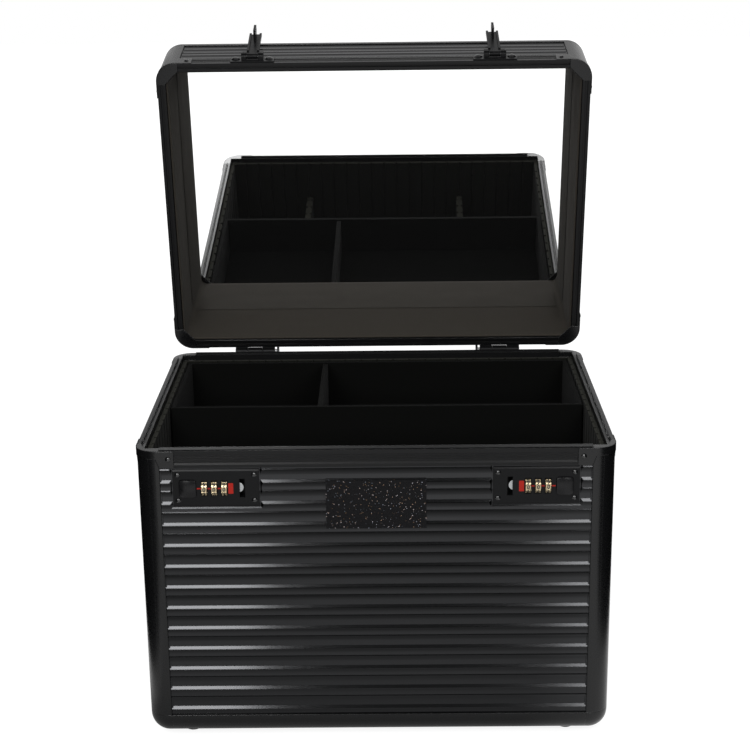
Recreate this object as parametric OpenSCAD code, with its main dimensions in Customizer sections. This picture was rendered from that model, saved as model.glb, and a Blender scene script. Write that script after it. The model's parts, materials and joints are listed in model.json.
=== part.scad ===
// Grooming case for horse gear: a ribbed box in an aluminium frame, with a mirror lid standing open.
// Lengths are in millimetres. X runs to the right of the front, Y to the back and Z up from the floor.
// Every piece is drawn with the lid shut and then swung open, so the open angle is only a pose.

/* [Case] */
// Outside width across the corner posts
case_width = 400; // [360:2:460]
// Outside depth from front to back
case_depth = 290; // [260:2:340]
// Height of the lower box from its bottom edge to its rim
body_height = 264; // [220:2:320]
// Height of the lid from its rim to its top
lid_height = 80; // [72:1:110]
// How far the lid stands open, counted from shut
lid_open_angle = 79.8; // [60:0.1:100]
// Play between the rim and the shut lid
rim_gap = 0.4; // [0.3:0.1:1]

/* [Frame profiles] */
// How far a corner profile reaches along each panel
profile_reach = 20; // [18:0.5:24]
// Outer rounding of the corner profiles
profile_radius = 17; // [12:0.5:17.5]
// Outer wall of the profiles
profile_wall = 1.6; // [1.2:0.1:2.2]
// Inner leg of the profiles
profile_leg = 1.8; // [1.2:0.1:2.6]
// Depth of the slot that takes a panel edge
slot_depth = 9; // [6:0.5:9.5]
// Height of the rim rails
rail_height = 15; // [14:0.5:20]
// Height of the tongue along the rim
rim_tongue_height = 2; // [1:0.1:3]
// Width of the tongue along the rim
rim_tongue_width = 1.6; // [1:0.1:2.2]
// Thickness of the rim corner blocks
corner_block_height = 5; // [3:0.5:5.5]
// Sheet thickness of the rim corner plates
corner_plate_thickness = 0.8; // [0.5:0.1:1.5]
// How far a rim corner plate reaches along the rim
corner_plate_reach = 32.5; // [30:0.5:45]

/* [Panels] */
// Thickness of the edge that sits in the profile slots
edge_thickness = 4; // [3:0.1:5]
// Distance between the ribs
rib_pitch = 19.05; // [14:0.05:24]
// Height of the lowest rib above the bottom rail
first_rib = 4.8; // [0:0.1:14]
// How far a rib stands out
rib_rise = 1.4; // [0.8:0.05:1.5]
// Width of the flank above a rib
rib_flank = 2.7; // [1.6:0.1:4]
// Height of the small ridge between two ribs, above the lower rib
ridge_place = 11.9; // [8:0.1:13]
// How far the small ridge stands out
ridge_rise = 0.42; // [0.2:0.02:0.6]
// Width of the flank above the small ridge
ridge_flank = 1.3; // [1:0.1:2]
// How far the ribs lie behind the frame
crown_setback = 1; // [0.5:0.05:1.3]

/* [Lining, dividers and tray] */
// Thickness of the grooved foam lining
lining_thickness = 4.4; // [3.6:0.1:6]
// Distance between the lining grooves
groove_pitch = 15.8; // [12:0.1:20]
// Width of a lining groove
groove_width = 2; // [1.4:0.1:3]
// Depth of a lining groove
groove_depth = 2.2; // [1:0.1:3]
// Thickness of the floor pad
pad_thickness = 4; // [2:0.5:8]
// Thickness of the low dividers
divider_thickness = 7.4; // [6.4:0.1:9]
// Grooves from the middle of the lining to each low divider
divider_groove_count = 6; // [3:1:8]
// Height of the tray
tray_height = 46; // [35:1:60]
// Depth of the tray from front to back
tray_depth = 143; // [110:1:180]
// Thickness of the tray walls
tray_wall = 4; // [3:0.1:6]
// Thickness of the tray floor
tray_floor = 3; // [2:0.1:5]
// Room between the tray and the lining
tray_room = 1.5; // [0.6:0.1:3]
// Depth of the tray's edge below the lining's edge
tray_drop = 1; // [0.5:0.5:8]
// Thickness of the fabric on the lid walls
fabric_thickness = 2; // [1:0.1:3]
// Thickness of the mirror
mirror_thickness = 3; // [2:0.5:5]

/* [Locks] */
// Distance from the side of the case to the middle of a lock
lock_inset = 66.6; // [62:0.2:80]
// Depth of the lock's middle line below the rim
lock_drop = 33.4; // [33.4:0.2:40]
// Width of a lock plate
lock_plate_width = 72; // [72:0.5:78]
// Thickness of a lock plate
lock_plate_thickness = 1.8; // [1.5:0.1:2.1]
// Radius of a number wheel
wheel_radius = 6.6; // [6:0.1:6.8]
// Width of a number wheel
wheel_width = 4.4; // [4:0.1:5.6]
// Distance between the number wheels
wheel_pitch = 8.35; // [8.1:0.05:8.4]
// Radius of the number wheels' axle
axle_radius = 1.1; // [0.8:0.1:1.5]
// Width of a lock button
button_width = 14; // [11:0.2:14]
// Height of a lock button
button_height = 15.2; // [11:0.2:15.4]
// Travel of a lock button
button_travel = 2; // [1:0.1:2.2]
// Width of the badge
badge_width = 84; // [60:1:100]
// Height of the badge
badge_height = 43; // [36:0.2:56]

/* [Hasps] */
// Length of a hasp from its pivot to its tip
hasp_tail = 8.6; // [8:0.1:12]
// Width of a hasp
hasp_width = 11.4; // [10.6:0.1:14]
// Thickness of the hasp sheet
hasp_sheet = 1.6; // [1.2:0.1:2]
// Radius of a hasp barrel
barrel_radius = 2.4; // [2.1:0.1:2.5]
// Radius of a hasp pin
hasp_pin_radius = 1.3; // [0.9:0.1:1.5]
// How far a hasp is folded back from shut
hasp_open_angle = 174; // [120:1:176]

/* [Hinges] */
// Distance from the side of the case to the middle of a hinge
hinge_inset = 80.4; // [65:0.2:110]
// Width of a hinge
hinge_width = 43; // [40:0.5:50]
// Height of a hinge leaf
leaf_height = 36; // [32:0.5:38]
// Thickness of a hinge leaf
leaf_thickness = 2; // [1.5:0.1:2.4]
// Radius of a hinge knuckle
knuckle_radius = 3.8; // [3.2:0.1:4.5]
// Radius of a hinge pin
hinge_pin_radius = 1.7; // [1:0.1:2.2]
// Thickness of the cheek that stops the lid
cheek_thickness = 1.8; // [1.2:0.1:2.4]

/* [Handle] */
// Distance from the middle of the handle to each pivot lug
handle_span = 62; // [50:1:80]
// Length of the handle arms
handle_arm = 38; // [32:1:46]
// Radius of the grip
grip_radius = 8.5; // [6:0.5:9]
// Height of the handle pivots above the ribs
handle_pivot_height = 11; // [10.5:0.5:14]

/* [Feet and rivets] */
// Height of the feet below the bottom edge
foot_height = 6; // [3:0.5:12]
// Radius of the feet
foot_radius = 8; // [5:0.5:12]
// Radius of a rivet shank
shank_radius = 1.2; // [0.8:0.1:1.5]
// Radius of a rivet head
head_radius = 2.4; // [2:0.1:2.8]

/* [Hidden] */
$fn = 48;
// Play between pieces that slide into each other
fit = 0.1;
// Play between a pin and the bore that turns on it
running_play = 0.05;
// How far a cut runs past the faces it opens
overrun = 2;
// Share of a rivet's head radius that its dome stands up
dome_share = 0.5;

// Lower box
half_width = case_width / 2;
half_depth = case_depth / 2;
shell = profile_wall + edge_thickness + 2 * fit + profile_leg;
base_z = foot_height;
rim_z = base_z + body_height;
field_low = base_z + profile_reach;
field_high = rim_z - rail_height;
valley_depth = crown_setback + rib_rise;
edge_depth = profile_wall + fit;
edge_reach = slot_depth - 5 * fit;
post_top = rim_z - corner_block_height;
inside_depth = shell + lining_thickness;
inside_width_half = half_width - inside_depth;
inside_depth_half = half_depth - inside_depth;
floor_z = base_z + shell;
pad_z = floor_z + pad_thickness;
lining_top = rim_z - corner_block_height - 2 * fit;
rib_land = 0.4;
flat_border = 1;
scoop_start = rib_land + rib_flank;
lower_scoop = ridge_place - scoop_start;
upper_scoop = rib_pitch - ridge_place - ridge_flank;
ridge_depth = valley_depth - (rib_rise + ridge_rise) * lower_scoop / (lower_scoop + upper_scoop);
scoop_steps = 6;
scoop_power = 4;
// The face from one rib up to the next: where each stretch starts, its width, the depth before and after it,
// and its number of steps
face_stretches = [
    [0, rib_land, crown_setback, crown_setback, 1],
    [rib_land, rib_flank, crown_setback, valley_depth, 1],
    [scoop_start, lower_scoop, valley_depth, ridge_depth, scoop_steps],
    [ridge_place, ridge_flank, ridge_depth, ridge_depth + ridge_rise, 1],
    [ridge_place + ridge_flank, upper_scoop, ridge_depth + ridge_rise, crown_setback, scoop_steps]
];

// Rim rails
lip_height = 4.2;
lip_bevel = 1.5;
shadow_width = 1.1;
shadow_depth = 0.9;
flute_count = 4;
flute_pitch = 1.4;
flute_depth = 0.4;
flute_low = lip_height + 2 * shadow_width;
rim_tongue_setback = 3;
tongue_taper_share = 0.6;
rim_tongue_play = 0.4;
plate_band = 7;
rail_rivet_drop = 7;
rail_rivet_margin = 2.3;
rail_rivet_setback = corner_plate_reach - head_radius - rail_rivet_margin;

// Lid
lid_z = rim_z + rim_gap;
lid_top = lid_z + lid_height;
mirror_low = lid_top - shell - mirror_thickness;
fabric_setback = 3;
gusset_leg = 12;

// Hinges
hinge_place = half_width - hinge_inset;
hinge_offset = knuckle_radius + 5 * fit;
hinge_y = half_depth + hinge_offset;
hinge_z = rim_z + rim_gap / 2;
knuckle_play = 0.3;
cheek_room = 2.2;
heel_length = 10;
heel_width = 3;
heel_play = 0.1;
leaf_rivet_spread = 13;
leaf_low_rivet = 28;
knuckle_span = hinge_width - cheek_thickness - cheek_room;
knuckle_share = 0.31;

// Locks, along the lock from the middle of its plate, with the hasp end positive
lock_place = half_width - lock_inset;
lock_z = rim_z - lock_drop;
plate_gap = 1.7;
plate_above = lock_drop - rail_height - plate_gap;
plate_below = 16.2;
plate_bevel = 0.7;
plate_bevel_width = 1.4;
plate_front = valley_depth - lock_plate_thickness;
flat_margin = 1;
flat_slope_share = 1.6;
lock_rivet_margin = 1.7;
lock_rivet_spread = lock_plate_width / 2 - head_radius - lock_rivet_margin;
lock_rivet_high = 12.1;
lock_rivet_low = 10.6;
lock_rivet_grip = 2;
housing_wall = 1;
housing_half_height = 9.3;
housing_inner = housing_half_height - housing_wall;
wheel_depth = valley_depth + axle_radius + fit;
housing_floor = wheel_depth + wheel_radius + 3 * fit;
housing_back = housing_floor + housing_wall;
button_centre = -23.7;
button_play = 0.15;
button_rise = 1.6;
button_crown = 1.1;
button_rounding = 2.2;
button_flange = 0.5;
button_flange_thickness = 1;
button_stem_radius = 3;
button_stem = 4;
housing_end_room = 0.2;
housing_button_end = button_centre - button_width / 2 - button_flange - housing_end_room - housing_wall;
housing_hasp_end = 26.7;
wheel_centre = -1.4;
window_play = 0.4;
window_width = wheel_width + 2 * window_play;
window_half_height = wheel_radius + 3 * fit;
bulkhead_thickness = 1.1;
bulkhead_gap = 0.7;
bulkhead_low = wheel_centre - wheel_pitch - wheel_width / 2 - bulkhead_gap - bulkhead_thickness;
bulkhead_high = wheel_centre + wheel_pitch + wheel_width / 2 + bulkhead_gap;
wheel_notch_count = 10;
wheel_notch_radius = 0.5;
lock_slot_place = 21.9;
lock_slot_width = 4.5;
lock_slot_half_height = 8.3;
catch_half_height = 4.35;
catch_reach = 1;
catch_tip = lock_slot_place + catch_reach;
catch_setback = 0.5;
catch_front = valley_depth + catch_setback;
catch_thickness = 2.2;
catch_travel = 2.5;
catch_tail = bulkhead_high + bulkhead_thickness + catch_travel + 2 * fit;
catch_ledge_margin = 1.6;
catch_ledge_end = lock_slot_place - lock_slot_width / 2 - catch_ledge_margin;
index_thickness = 0.3;
index_height = 1.1;
tab_width = 4.2;
tab_height = 9.3;
tab_gap = 0.7;
tab_place = wheel_place(3) + window_width / 2 + tab_gap + tab_width / 2;
badge_thickness = 1.2;
badge_top_drop = 26.9;

// Hasps, with the pivot in front of the lid's rim rail
hasp_place = lock_place - lock_slot_place;
pivot_rise = 9;
pivot_height = 4;
hasp_pivot_y = -half_depth - pivot_height;
hasp_pivot_z = lid_z + pivot_rise;
base_half_width = 20;
base_thickness = 1.2;
base_low = 1.5;
base_high = 14;
ear_inner = 5.4;
ear_outer = 10.2;
ear_radius = 3.2;
hasp_rivet_spread = 15.4;
hasp_rivet_head = 4.2;
shoulder_half_width = 9.7;
shoulder_top = 3.8;
shoulder_low = 9;
flange_width = 2;
flange_depth = 1.2;
loop_thickness = 2.2;
loop_half_height = 7.2;
loop_arm = 1.3;
loop_play = 0.3;
loop_drop = hasp_pivot_z - lock_z;
loop_end = catch_front + catch_thickness + loop_play + loop_arm;

// Handle
handle_z = lid_top - crown_setback;
handle_pivot_z = handle_z + handle_pivot_height;
handle_arm_width = 6;
handle_arm_radius = 5;
handle_lug_width = 5;
handle_play = 0.4;
handle_stub_radius = 2.5;
handle_plate_half = 12.4;
handle_plate_thickness = 1.6;
handle_plate_inset = 4.4;
handle_plate_length = 24;
handle_collar = 1.5;
handle_collar_length = 6;

// Feet
foot_inset = profile_reach + foot_radius + fit;
foot_side_inset = 35;
foot_rounding = 2;

// Low dividers and tray
divider_x = divider_groove_count * groove_pitch;
tray_top = lining_top - tray_drop;
tray_z = tray_top - tray_height;
tray_half_width = inside_width_half - tray_room;
tray_back = inside_depth_half - tray_room;
tray_front = tray_back - tray_depth;
tray_split_share = 0.363;
tray_divider_thickness = 5;
tray_divider_drop = 1;
tray_divider_x = -tray_half_width + 2 * tray_half_width * tray_split_share;

// Shapes and places that the pieces share

// A block between two corners
module block(low, high) {
    translate(low) cube(high - low);
}

// An outline in depth and height, drawn out along X about the middle
module along_x(length) {
    rotate([90, 0, 90]) linear_extrude(length, center = true) children();
}

// A round bar along X from one end to the other, about a line at y and z
module bar_x(low, high, y, z, radius) {
    translate([low, y, z]) rotate([0, 90, 0]) cylinder(r = radius, h = high - low);
}

// Puts a piece on a wall, drawn as seen from outside: x along the wall, y inward and z up
module on_wall(turn, distance) {
    rotate([0, 0, turn]) translate([0, -distance, 0]) children();
}

// The same piece on the front and back walls
module on_long_walls() {
    on_wall(0, half_depth) children();
    on_wall(180, half_depth) children();
}

// The same piece on the left and right walls
module on_short_walls() {
    on_wall(90, half_width) children();
    on_wall(270, half_width) children();
}

// The same piece in the four corners, drawn in the front left one with x and y inward
module at_corners() {
    for (side = [0, 1], end = [0, 1])
        mirror([side, 0, 0]) mirror([0, end, 0]) translate([-half_width, -half_depth, 0]) children();
}

module both_sides() {
    children();
    mirror([1, 0, 0]) children();
}

// Swings what is drawn on the shut lid open about the hinge pins
module on_lid() {
    translate([0, hinge_y, hinge_z])
        rotate([-lid_open_angle, 0, 0])
            translate([0, -hinge_y, -hinge_z]) children();
}

// Turns a piece of the lid upside down, so that z runs down from the lid's top
module from_lid_top() {
    translate([0, 0, lid_top]) mirror([0, 0, 1]) children();
}

// A rivet on an outer face, with its axis along y and its shank running inward
module rivet(radius, grip) {
    dome = radius * dome_share;
    ball = (radius * radius + dome * dome) / (2 * dome);
    rotate([-90, 0, 0]) {
        intersection() {
            translate([0, 0, ball - dome]) sphere(ball);
            translate([0, 0, -dome]) cylinder(r = radius, h = dome);
        }
        cylinder(r = shank_radius, h = grip);
    }
}

// The hole of such a rivet through everything in its way
module rivet_hole(grip) {
    translate([0, -overrun, 0]) rotate([-90, 0, 0]) cylinder(r = shank_radius, h = grip + overrun);
}

// The section of a corner profile: a rounded angle with a slot for a panel edge in each leg
module corner_outline() {
    translate([profile_radius, 0]) square([profile_reach - profile_radius, profile_reach]);
    translate([0, profile_radius]) square([profile_reach, profile_reach - profile_radius]);
    intersection() {
        square(profile_radius);
        translate([profile_radius, profile_radius]) circle(profile_radius);
    }
}

module corner_section() {
    difference() {
        corner_outline();
        translate([shell, shell]) square(profile_reach);
        for (leg = [0, 1])
            mirror([leg, -leg])
                translate([profile_reach - slot_depth, profile_wall])
                    square([slot_depth + overrun, edge_thickness + 2 * fit]);
    }
}

// A corner piece where three profiles meet
module corner_cap() {
    difference() {
        intersection() {
            cube(profile_reach);
            union() {
                translate(profile_radius * [1, 1, 1]) sphere(profile_radius);
                for (turn = [[0, 0, 0], [90, 0, 90], [0, -90, -90]])
                    rotate(turn)
                        translate([profile_radius, profile_radius, profile_radius])
                            cylinder(r = profile_radius, h = profile_reach);
                for (axis = [0, 1, 2])
                    translate([for (i = [0, 1, 2]) i == axis ? 0 : profile_radius]) cube(profile_reach);
            }
        }
        translate(shell * [1, 1, 1]) cube(profile_reach);
    }
}

// The section of a rim rail, with its outer face at 0 and its foot at 0
module rail_section() {
    difference() {
        square([shell, rail_height]);
        translate([profile_wall, -overrun]) square([edge_thickness + 2 * fit, slot_depth + overrun]);
        polygon([
            [-overrun, lip_height - lip_bevel], [0, lip_height - lip_bevel], [shadow_depth, lip_height],
            [shadow_depth, lip_height + shadow_width], [-overrun, lip_height + shadow_width]
        ]);
        for (i = [0 : flute_count - 1])
            translate([-overrun, flute_low + i * flute_pitch])
                square([overrun + flute_depth, flute_pitch / 2]);
    }
}

// One length of rim rail with the rivet holes at its ends, its top face at 0 and its foot below
module rim_rail(length, tongue) {
    rivet_x = length / 2 + profile_reach + fit - rail_rivet_setback;
    translate([0, 0, -rail_height])
        difference() {
            along_x(length) {
                difference() {
                    rail_section();
                    if (!tongue)
                        translate([rim_tongue_setback, rail_height - rim_tongue_height] - rim_tongue_play * [1, 1])
                            square([rim_tongue_width + 2 * rim_tongue_play, rim_tongue_height + overrun]);
                }
                if (tongue)
                    translate([rim_tongue_setback, rail_height])
                        polygon([
                            [0, -rim_tongue_height], [0, 0],
                            [rim_tongue_width * tongue_taper_share, rim_tongue_height],
                            [rim_tongue_width, rim_tongue_height], [rim_tongue_width, -rim_tongue_height]
                        ]);
            }
            for (side = [-1, 1])
                translate([side * rivet_x, 0, rail_height - rail_rivet_drop]) rivet_hole(profile_wall);
        }
}

// A rim corner drawn in the front left corner, its top face at 0
module rim_corner() {
    plate = [
        [profile_radius, 0], [corner_plate_reach, 0], [corner_plate_reach, -rail_height],
        [profile_reach, -rail_height], [profile_radius, -plate_band]
    ];
    difference() {
        union() {
            translate([0, 0, -corner_block_height])
                linear_extrude(corner_block_height) {
                    difference() {
                        corner_outline();
                        translate([shell, shell]) square(profile_reach);
                    }
                    rim_band();
                }
            translate([0, 0, -plate_band]) linear_extrude(plate_band) rim_band();
            for (leg = [0, 1])
                mirror([leg, -leg, 0])
                    rotate([90, 0, 0]) linear_extrude(corner_plate_thickness) polygon(plate);
        }
        for (leg = [0, 1])
            mirror([leg, -leg, 0])
                translate([rail_rivet_setback, -corner_plate_thickness, -rail_rivet_drop])
                    rivet_hole(corner_plate_thickness + overrun);
    }
}

// The thin band that carries a rim corner's sheet around the rounding
module rim_band() {
    translate([profile_radius, profile_radius])
        difference() {
            intersection() {
                circle(profile_radius + corner_plate_thickness);
                translate(-(profile_radius + corner_plate_thickness) * [1, 1])
                    square(profile_radius + corner_plate_thickness);
            }
            circle(profile_radius);
        }
}

// The rivets of one rim corner
module rim_corner_rivets() {
    for (leg = [0, 1])
        mirror([leg, -leg, 0])
            translate([rail_rivet_setback, -corner_plate_thickness, -rail_rivet_drop])
                rivet(head_radius, corner_plate_thickness + profile_wall);
}

// Points up the face of a ribbed panel: flanks are straight, and the scoops between them are hollow
function rib_face(count) = [
    for (i = [-1 : count - 1], stretch = face_stretches, step = [1 : stretch[4]])
        [
            stretch[2] + (stretch[3] - stretch[2]) * pow(step / stretch[4], scoop_power),
            first_rib + i * rib_pitch + stretch[0] + stretch[1] * step / stretch[4]
        ]
];

// A ribbed panel with edges for the profile slots, its field standing on 0
module ribbed_panel(width, height) {
    count = ceil((height - first_rib) / rib_pitch);
    foot = first_rib - rib_pitch;
    top = first_rib + count * rib_pitch;
    half = width / 2 - fit;
    edge_back = edge_depth + edge_thickness;
    translate([0, 0, fit])
        along_x(2 * half)
            intersection() {
                polygon(concat([[shell, foot], [crown_setback, foot]], rib_face(count), [[shell, top]]));
                square([shell, height - 2 * fit]);
            }
    difference() {
        union() {
            block([-half - fit - edge_reach, edge_depth, fit], [half + fit + edge_reach, edge_back, height - fit]);
            block([-half, edge_depth, -edge_reach], [half, edge_back, height + edge_reach]);
        }
        block([-half + flat_border, 0, flat_border], [half - flat_border, shell, height - flat_border]);
    }
}

// A lining board with upright grooves, standing on the floor board
module lining_board(width) {
    groove_count = floor((width / 2 - inside_depth) / groove_pitch);
    difference() {
        block([-width / 2, shell, floor_z], [width / 2, inside_depth, lining_top]);
        for (i = [-groove_count : groove_count])
            translate([i * groove_pitch - groove_width / 2, inside_depth - groove_depth, floor_z - overrun])
                cube([groove_width, groove_depth + overrun, body_height]);
    }
}

// Lower box

module front_panel() {
    color("dimgray")
        difference() {
            on_wall(0, half_depth)
                translate([0, 0, field_low])
                    ribbed_panel(case_width - 2 * profile_reach, field_high - field_low);
            both_sides() on_lock() {
                lock_flat();
                lock_pocket(valley_depth - overrun, shell + overrun);
                at_lock_rivets() translate([0, valley_depth, 0]) rivet_hole(lock_rivet_grip);
            }
        }
}

module back_panel() {
    color("dimgray")
        difference() {
            on_wall(180, half_depth)
                translate([0, 0, field_low])
                    ribbed_panel(case_width - 2 * profile_reach, field_high - field_low);
            both_sides() on_hinge() at_low_leaf_rivets() rivet_hole(leaf_thickness + shell - profile_leg);
        }
}

module side_panel() {
    translate([0, 0, field_low]) ribbed_panel(case_depth - 2 * profile_reach, field_high - field_low);
}

module left_panel() {
    color("dimgray") on_wall(270, half_width) side_panel();
}

module right_panel() {
    color("dimgray") on_wall(90, half_width) side_panel();
}

module floor_board() {
    slab = [half_width - profile_reach - fit, half_depth - profile_reach - fit];
    edge_z = base_z + edge_depth;
    color("dimgray") {
        block([-slab.x, -slab.y, edge_z], [slab.x, slab.y, floor_z]);
        for (long = [[edge_reach + fit, 0], [0, edge_reach + fit]])
            block([-slab.x - long.x, -slab.y - long.y, edge_z],
                  [slab.x + long.x, slab.y + long.y, edge_z + edge_thickness]);
    }
}

module corner_posts() {
    color("#2a2b2d")
        at_corners() translate([0, 0, field_low]) linear_extrude(post_top - field_low) corner_section();
}

module bottom_rails() {
    color("#2a2b2d") translate([0, 0, base_z]) {
        on_long_walls() along_x(case_width - 2 * profile_reach) corner_section();
        on_short_walls() along_x(case_depth - 2 * profile_reach) corner_section();
    }
}

module bottom_corners() {
    color("#2a2b2d") at_corners() translate([0, 0, base_z]) corner_cap();
}

module rim_rails() {
    color("#2a2b2d")
        difference() {
            translate([0, 0, rim_z]) {
                on_long_walls() rim_rail(case_width - 2 * profile_reach - 2 * fit, true);
                on_short_walls() rim_rail(case_depth - 2 * profile_reach - 2 * fit, true);
            }
            both_sides() on_hinge() at_rail_leaf_rivets() rivet_hole(leaf_thickness + profile_wall);
        }
}

module rim_corners() {
    color("#2a2b2d") at_corners() translate([0, 0, rim_z]) rim_corner();
}

module case_rivets() {
    color("#3c3d40") {
        at_corners() translate([0, 0, rim_z]) rim_corner_rivets();
        both_sides() on_hinge() {
            at_rail_leaf_rivets() rivet(head_radius, leaf_thickness + profile_wall);
            at_low_leaf_rivets() rivet(head_radius, leaf_thickness + shell - profile_leg);
        }
    }
}

module feet() {
    foot_top = base_z + edge_depth;
    color("#18191a")
        at_corners()
            translate([foot_side_inset, foot_inset, 0])
                rotate_extrude() {
                    translate([0, foot_rounding]) square([foot_radius, foot_top - foot_rounding]);
                    square([foot_radius - foot_rounding, foot_rounding]);
                    intersection() {
                        square(foot_radius);
                        translate([foot_radius - foot_rounding, foot_rounding]) circle(foot_rounding);
                    }
                }
}

// Lining, dividers and tray

module lining_front() {
    color("#1d1f1e")
        difference() {
            on_wall(0, half_depth) lining_board(case_width - 2 * shell);
            both_sides() on_lock() lock_pocket(shell - overrun, housing_back);
        }
}

module lining_back() {
    color("#1d1f1e") on_wall(180, half_depth) lining_board(case_width - 2 * shell);
}

module lining_left() {
    color("#1d1f1e") on_wall(270, half_width) lining_board(case_depth - 2 * inside_depth);
}

module lining_right() {
    color("#1d1f1e") on_wall(90, half_width) lining_board(case_depth - 2 * inside_depth);
}

module floor_pad() {
    color("#1d1f1e")
        block([-inside_width_half, -inside_depth_half, floor_z],
              [inside_width_half, inside_depth_half, pad_z]);
}

// A low divider at x = 0, with tenons in the lining's grooves and grooves of its own
module low_divider() {
    tenon = groove_width / 2 - fit;
    half = divider_thickness / 2;
    length_half = inside_depth_half - fit;
    count = floor(length_half / groove_pitch);
    color("#1d1f1e")
        difference() {
            union() {
                block([-half, -length_half, pad_z], [half, length_half, tray_z]);
                block([-tenon, -length_half - groove_depth, pad_z],
                      [tenon, length_half + groove_depth, tray_z]);
            }
            for (side = [0, 1], i = [-count : count])
                mirror([side, 0, 0])
                    translate([half - groove_depth, i * groove_pitch - groove_width / 2, pad_z - overrun])
                        cube([groove_depth + overrun, groove_width, tray_z - pad_z + 2 * overrun]);
        }
}

module divider_left() {
    translate([-divider_x, 0, 0]) low_divider();
}

module divider_right() {
    translate([divider_x, 0, 0]) low_divider();
}

module tray() {
    color("#161716")
        difference() {
            block([-tray_half_width, tray_front, tray_z], [tray_half_width, tray_back, tray_top]);
            block([-tray_half_width + tray_wall, tray_front + tray_wall, tray_z + tray_floor],
                  [tray_half_width - tray_wall, tray_back - tray_wall, tray_top + overrun]);
        }
}

module tray_divider() {
    half = tray_divider_thickness / 2;
    color("#161716")
        block([tray_divider_x - half, tray_front + tray_wall, tray_z + tray_floor],
              [tray_divider_x + half, tray_back - tray_wall, tray_top - tray_divider_drop]);
}

// Locks, drawn for the left one from the middle of its plate on the front face

module on_lock() {
    translate([-lock_place, -half_depth, lock_z]) children();
}

module at_lock_rivets() {
    for (side = [-1, 1], height = [-lock_rivet_low, lock_rivet_high])
        translate([side * lock_rivet_spread, 0, height]) children();
}

// The number wheels' places along the lock
function wheel_place(i) = wheel_centre + (i - 2) * wheel_pitch;

// The flat in the ribs around a lock plate, with bevelled edges
module lock_flat() {
    half = lock_plate_width / 2 + flat_margin;
    low = -plate_below - flat_margin;
    high = plate_above + flat_margin;
    out = valley_depth + overrun;
    run = out * flat_slope_share;
    translate([0, valley_depth, 0])
        intersection() {
            translate([0, 0, low - run])
                linear_extrude(high - low + 2 * run)
                    polygon([[-half, 0], [half, 0], [half + run, -out], [-half - run, -out]]);
            along_x(2 * half + 2 * run) polygon([[0, low], [0, high], [-out, high + run], [-out, low - run]]);
        }
}

// The opening that a lock housing passes through
module lock_pocket(low, high) {
    block([housing_button_end - fit, low, -housing_half_height - fit],
          [housing_hasp_end + fit, high, housing_half_height + fit]);
}

// An oblong with round corners, from its half width and half height
module rounded_outline(half, radius) {
    square([2 * half.x - 2 * radius, 2 * half.y], center = true);
    square([2 * half.x, 2 * half.y - 2 * radius], center = true);
    for (x = [-1, 1], y = [-1, 1])
        translate([x * (half.x - radius), y * (half.y - radius)]) circle(radius);
}

module lock_plate() {
    height = plate_above + plate_below;
    button_hole = [button_width / 2 + button_play, button_height / 2 + button_play];
    color("#26272a")
        on_lock()
            difference() {
                translate([0, plate_front, -plate_below])
                    along_x(lock_plate_width)
                        polygon([
                            [lock_plate_thickness, 0], [lock_plate_thickness, height], [plate_bevel, height],
                            [0, height - plate_bevel_width], [0, plate_bevel_width], [plate_bevel, 0]
                        ]);
                translate([button_centre, valley_depth + overrun, 0])
                    rotate([90, 0, 0])
                        linear_extrude(lock_plate_thickness + 2 * overrun)
                            rounded_outline(button_hole, button_rounding + button_play);
                for (i = [1 : 3]) plate_hole(wheel_place(i), window_width / 2, window_half_height);
                plate_hole(lock_slot_place, lock_slot_width / 2, lock_slot_half_height);
                at_lock_rivets() translate([0, plate_front, 0]) rivet_hole(lock_plate_thickness + overrun);
            }
}

module plate_hole(place, half_width, half_height) {
    block([place - half_width, plate_front - overrun, -half_height],
          [place + half_width, valley_depth + overrun, half_height]);
}

module lock_plate_left() {
    lock_plate();
}

module lock_plate_right() {
    mirror([1, 0, 0]) lock_plate();
}

// The box behind a lock plate, with two bulkheads for the axle and ledges for the catch
module lock_housing() {
    difference() {
        block([housing_button_end, valley_depth, -housing_half_height],
              [housing_hasp_end, housing_back, housing_half_height]);
        difference() {
            block([housing_button_end + housing_wall, valley_depth - overrun, -housing_inner],
                  [housing_hasp_end - housing_wall, housing_floor, housing_inner]);
            for (place = [bulkhead_low, bulkhead_high])
                block([place, valley_depth - overrun, -housing_inner],
                      [place + bulkhead_thickness, housing_floor, housing_inner]);
            for (side = [0, 1])
                mirror([0, 0, side])
                    block([bulkhead_high, valley_depth - overrun, catch_half_height + running_play],
                          [catch_ledge_end, housing_floor, housing_inner]);
        }
        bar_x(bulkhead_low - overrun, bulkhead_high + overrun, wheel_depth, 0, axle_radius);
    }
}

module lock_housings() {
    color("#1b1c1e") both_sides() on_lock() lock_housing();
}

module lock_axles() {
    color("silver")
        both_sides() on_lock()
            bar_x(bulkhead_low, bulkhead_high + bulkhead_thickness, wheel_depth, 0, axle_radius);
}

// A red tab beside the wheels and a red line between their windows
module lock_index() {
    gaps = [
        [button_centre + button_width / 2 + 4 * button_play, wheel_place(1) - window_width / 2],
        [wheel_place(1) + window_width / 2, wheel_place(2) - window_width / 2],
        [wheel_place(2) + window_width / 2, wheel_place(3) - window_width / 2]
    ];
    color("red")
        both_sides() on_lock() {
            block([tab_place - tab_width / 2, plate_front - index_thickness, -tab_height / 2],
                  [tab_place + tab_width / 2, plate_front, tab_height / 2]);
            for (gap = gaps)
                block([gap[0] + fit, plate_front - index_thickness, -index_height / 2],
                      [gap[1] - fit, plate_front, index_height / 2]);
        }
}

module lock_rivets() {
    color("#3c3d40")
        both_sides() on_lock() at_lock_rivets()
            translate([0, plate_front, 0]) rivet(head_radius, lock_plate_thickness + lock_rivet_grip);
}

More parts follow.
